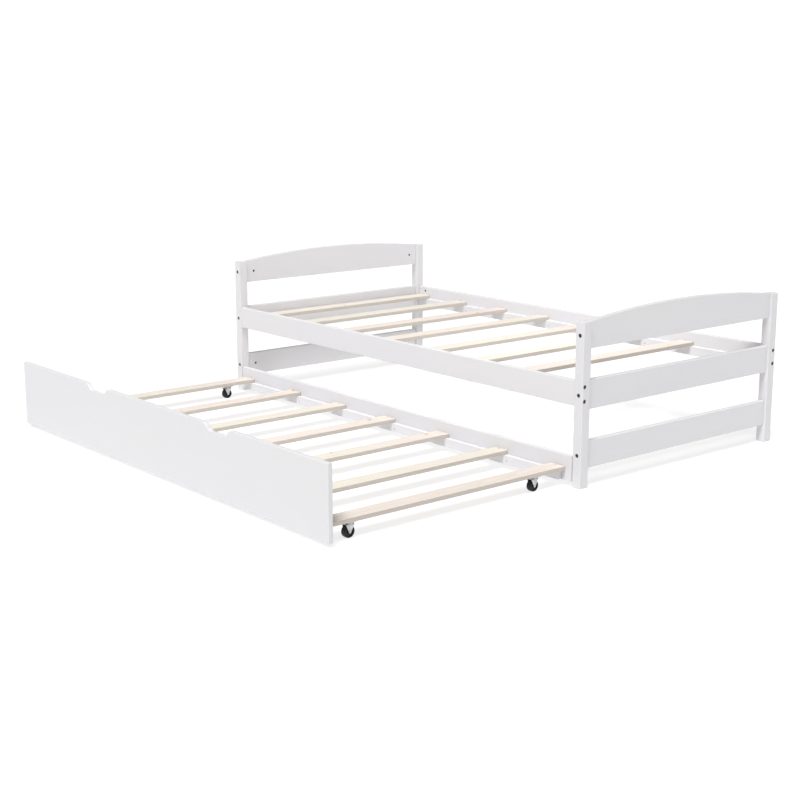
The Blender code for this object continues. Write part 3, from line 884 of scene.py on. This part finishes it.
def make_fork(name, steel):
    """Fork bent from sheet, with its ball race above and king pin through the plate."""
    low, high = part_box(name + "_fork")
    wheel_low, wheel_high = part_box(name + "_wheel")
    plate_low, plate_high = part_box(name + "_plate")
    axle_low, axle_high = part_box(name + "_axle")
    swivel = (plate_low + plate_high) / 2
    axle = (wheel_low + wheel_high) / 2
    at_swivel = Matrix.Translation((swivel.x, swivel.y, 0))
    ceiling = plate_low.z - RACE_GAP
    top = ceiling - RACE_HEIGHT
    under = top - FORK_SHEET
    half = (axle_high.x - axle_low.x) / 2 - AXLE_HEAD_ROOM

    outside = channel_outline(half, top, FORK_BEND)
    inside = channel_outline(half - FORK_SHEET, under, FORK_BEND - FORK_SHEET)
    sheet = outline_bm(outside + inside[::-1], -FORK_BLANK, FORK_BLANK)
    turn = Matrix.Rotation(-math.pi / 2, 4, "Z")
    bmesh.ops.transform(sheet, matrix=at_swivel @ turn, verts=sheet.verts)
    fork = link_mesh(name + "_fork_piece", sheet)

    cheeks = outline_bm(cheek_outline(low, swivel, axle, top), -FORK_TRIM, FORK_TRIM)
    bmesh.ops.transform(cheeks, matrix=at_swivel, verts=cheeks.verts)
    combine(fork, cheeks, "INTERSECT")
    race = bmesh.new()
    turn_profile(race, race_profile(top, ceiling, high.z), 48, at_swivel)
    combine(fork, race, "UNION")
    rivet = bmesh.new()
    turn_profile(rivet, rivet_profile(under), matrix=at_swivel)
    combine(fork, rivet, "UNION")
    shade(fork, 28)
    hand_in(fork, name, steel, [name + "_fork"])


def make_wheel(name, plastic):
    """Moulded wheel: crowned tread with a parting line, sunk sides and a hub."""
    low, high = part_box(name + "_wheel")
    centre = (low + high) / 2
    half = (high.x - low.x) / 2
    r = (high.z - low.z) / 2
    tread = r - WHEEL_CROWN
    side = [(WHEEL_BORE, half - 0.0002), (WHEEL_BORE + 0.0003, half), (0.0068, half),
            (0.0072, half - 0.0003), (0.0076, half - 0.0018), (0.0080, half - 0.0022),
            (0.0136, half - 0.0022), (0.0140, half - 0.0018), (0.0143, half - 0.0003),
            (0.0146, half)]
    for i in range(SHOULDER_STEPS + 1):
        angle = math.pi / 2 * i / SHOULDER_STEPS
        side.append((tread - WHEEL_SHOULDER + WHEEL_SHOULDER * math.sin(angle),
                     half - WHEEL_SHOULDER + WHEEL_SHOULDER * math.cos(angle)))
    side += [(tread, 0.0004), (r, 0.0002)]
    profile = side + [(radius, -x) for radius, x in reversed(side)]
    bm = bmesh.new()
    turn_profile(bm, profile, 64, facing(centre, (1, 0, 0)))
    obj = link_mesh(name + "_wheel_piece", bm)
    shade(obj, 40)
    hand_in(obj, name + "_wheel_body", plastic, [name + "_wheel"])


def make_axle(name, steel):
    """Axle rivet with a domed head on each side of the fork."""
    low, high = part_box(name + "_axle")
    centre = (low + high) / 2
    half = (high.x - low.x) / 2
    head = AXLE_HEAD_RADIUS
    side = [(0.0028, half - 0.0014), (head, half - 0.0014), (head, half - 0.0010),
            (head * 0.88, half - 0.0005), (head * 0.6, half - 0.0002), (0, half)]
    profile = [(radius, -x) for radius, x in reversed(side)] + side
    bm = bmesh.new()
    turn_profile(bm, profile, 36, facing(centre, (1, 0, 0)))
    obj = link_mesh(name + "_axle_piece", bm)
    shade(obj, 40)
    hand_in(obj, name, steel, [name + "_axle"])


# -------------------------------------------------------------------------- trundle
def notch_points(centre, top):
    """The panel's top edge through a hand notch, from -X to +X."""
    ramp = (NOTCH_WIDTH - NOTCH_FLOOR) / 2
    down = []
    for i in range(NOTCH_STEPS + 1):
        share = i / NOTCH_STEPS
        drop = NOTCH_DEPTH * (1 - math.cos(math.pi * share)) / 2
        down.append((-NOTCH_WIDTH / 2 + ramp * share, top - drop))
    up = [(-x, z) for x, z in reversed(down)]
    return [(centre + x, z) for x, z in down + up]


def make_front_panel(paint):
    """The trundle's front, with its two hand notches."""
    low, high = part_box("trundle_front_panel")
    outline = [(high.x, low.z), (low.x, low.z), (low.x, high.z)]
    outline += notch_points(-NOTCH_OFFSET, high.z) + notch_points(NOTCH_OFFSET, high.z)
    outline.append((high.x, high.z))
    bm = outline_bm(outline, -high.y, -low.y)
    bmesh.ops.transform(bm, matrix=Matrix.Rotation(-math.pi / 2, 4, "Z"), verts=bm.verts)
    finish_board("trundle_front_panel", bm, PAINT_EDGE, "trundle", paint)


# ---------------------------------------------------------------- floor, light, view
def make_floor():
    """Pale studio floor, lit from behind, that runs out of sight."""
    bm = bmesh.new()
    bmesh.ops.create_circle(bm, cap_ends=True, radius=FLOOR_RADIUS, segments=96)
    floor = link_mesh("studio_floor", bm)
    s = Shader("studio_white")
    cloud = s.noise(s.coordinates(), 0.6, 3.0)
    color = s.blend(cloud, (FLOOR_PALE,) * 3, (FLOOR_PALE * 1.03,) * 3)
    roughness = s.spread(cloud, 0, 1, 0.7, 0.8)
    normal = s.bump(s.noise(s.coordinates(), 300.0), 0.00002)
    white = s.finish(color, roughness, normal, Emission_Color=(1, 1, 1, 1),
                     Emission_Strength=FLOOR_GLOW)
    floor.data.materials.append(white)


def make_world():
    """Studio surround: white at the horizon, greyer walls, a broad softbox overhead."""
    world = bpy.data.worlds.new("studio")
    bpy.context.scene.world = world
    world.use_nodes = True
    tree = world.node_tree
    direction = tree.nodes.new("ShaderNodeTexCoord")
    split = tree.nodes.new("ShaderNodeSeparateXYZ")
    tree.links.new(direction.outputs["Generated"], split.inputs[0])
    ramp = tree.nodes.new("ShaderNodeFloatCurve")
    tree.links.new(split.outputs["Z"], ramp.inputs["Value"])
    curve = ramp.mapping.curves[0]
    ramp.mapping.clip_max_y = 2.0       # a strength may be more than 1
    for point, (height, strength) in zip(curve.points, (SKY[0], SKY[-1])):
        point.location = (height, strength)
    for height, strength in SKY[1:-1]:
        curve.points.new(height, strength)
    ramp.mapping.update()
    background = tree.nodes["Background"]
    background.inputs["Color"].default_value = (1, 1, 1, 1)
    tree.links.new(ramp.outputs["Value"], background.inputs["Strength"])


def make_key_light():
    """Very soft light from the trundle's side, high up."""
    light = bpy.data.lights.new("key_light", "SUN")
    light.angle = math.radians(KEY_SPREAD)
    light.energy = KEY_STRENGTH
    obj = bpy.data.objects.new("key_light", light)
    bpy.context.scene.collection.objects.link(obj)
    obj.rotation_euler = Vector(KEY_FROM).to_track_quat("Z", "Y").to_euler()


def make_fill(name, place, aim, size, power):
    """Soft panel, itself unseen, that lifts the faces the key light only grazes."""
    light = bpy.data.lights.new(name, "AREA")
    light.shape = "RECTANGLE"
    light.size, light.size_y = size
    light.energy = power
    obj = bpy.data.objects.new(name, light)
    bpy.context.scene.collection.objects.link(obj)
    obj.location = place
    obj.rotation_euler = (Vector(place) - Vector(aim)).to_track_quat("Z", "Y").to_euler()
    obj.visible_camera = False
    obj.visible_glossy = False


def make_camera():
    """Camera at the photograph's viewpoint."""
    a, e = math.radians(VIEW_AZIMUTH), math.radians(VIEW_ELEVATION)
    back = Vector((math.sin(a) * math.cos(e), -math.cos(a) * math.cos(e), math.sin(e)))
    data = bpy.data.cameras.new("photo_view")
    data.sensor_width = SENSOR_WIDTH
    data.lens = LENS
    camera = bpy.data.objects.new("photo_view", data)
    bpy.context.scene.collection.objects.link(camera)
    camera.location = Vector(VIEW_TARGET) + back * VIEW_DISTANCE
    camera.rotation_euler = back.to_track_quat("Z", "Y").to_euler()
    bpy.context.scene.camera = camera


# ------------------------------------------------------------------------- assembly
def make_fasteners(bolts):
    """Every bolt, nut and wood screw; each post's bolts start with its end-rail ones."""
    draw = random.Random(5)
    black = black_oxide("black_oxide_steel")
    zinc = plated_steel("zinc_fasteners", seed=3, roughness=0.30)
    rail_bolts = [place for found in bolts.values() for place in found[len(LEVELS):]]
    end_bolts = [place for found in bolts.values() for place in found[:len(LEVELS)]]
    nodes = [f"bolt_{end}_{side}_{level}" for end in ENDS for side in SIDES
             for level in ("lower", "upper")]
    make_bolts("side_rail_bolts", rail_bolts, black, nodes)
    make_bolts("end_rail_bolts", end_bolts, black, ())

    nuts = [place for end in ENDS for level in LEVELS for place in end_rail_nuts(end, level)]
    nuts += [place for side in SIDES for place in side_rail_nuts(side)]
    sunk = [(point - Vector(way) * NUT_SUNK, way) for point, way in nuts]
    make_copies("barrel_nuts", make_nut_mesh(), sunk, "bed_frame", black, draw)

    screw = make_screw_mesh()
    bed_screws = slat_screw_places(BED_SLATS)
    bed_screws += ledger_screw_places("slat_ledger_near", BED_SLATS, 1)
    bed_screws += ledger_screw_places("slat_ledger_far", BED_SLATS, -1)
    trundle_screws = slat_screw_places(TRUNDLE_SLATS)
    trundle_screws += ledger_screw_places("trundle_ledger_front", TRUNDLE_SLATS, 1)
    trundle_screws += ledger_screw_places("trundle_ledger_back", TRUNDLE_SLATS, -1)
    make_copies("bed_screws", screw, bed_screws, "bed_frame", zinc, draw)
    make_copies("trundle_screws", screw, trundle_screws, "trundle", zinc, draw)


def make_casters():
    draw = random.Random(9)
    steel = plated_steel("zinc_pressings", seed=1)
    plastic = black_plastic("wheel_plastic")
    screws = []
    for name in CASTERS:
        screws += make_caster_plate(name, steel)
        make_fork(name, steel)
        make_wheel(name, plastic)
        make_axle(name, steel)
    make_copies("caster_screws", make_pan_screw_mesh(), screws, "trundle",
                steel, draw)


def make_bed():
    bolts = bolt_places()
    make_posts(white_paint("paint_upright", axis=2, seed=1), bolts)
    make_end_rails(white_paint("paint_across", axis=1, seed=2))
    lengthwise = white_paint("paint_lengthwise", axis=0, seed=3)
    make_side_rails(lengthwise)
    make_plain_boards(["slat_ledger_near", "slat_ledger_far"], "bed_frame",
                      LEDGER_EDGE, lengthwise)
    make_slats(BED_SLATS, "bed_frame", seed=40)

    make_front_panel(white_paint("paint_panel", axis=0, seed=4))
    make_plain_boards(["trundle_back_rail"], "trundle", PAINT_EDGE, lengthwise)
    make_plain_boards(["trundle_ledger_front", "trundle_ledger_back"], "trundle",
                      LEDGER_EDGE, lengthwise)
    make_slats(TRUNDLE_SLATS, "trundle", seed=70)
    make_fasteners(bolts)


make_bed()
make_casters()
make_floor()
make_world()
make_key_light()
for fill in FILLS:
    make_fill(*fill)
make_camera()
bpy.context.scene.view_settings.view_transform = "Standard"
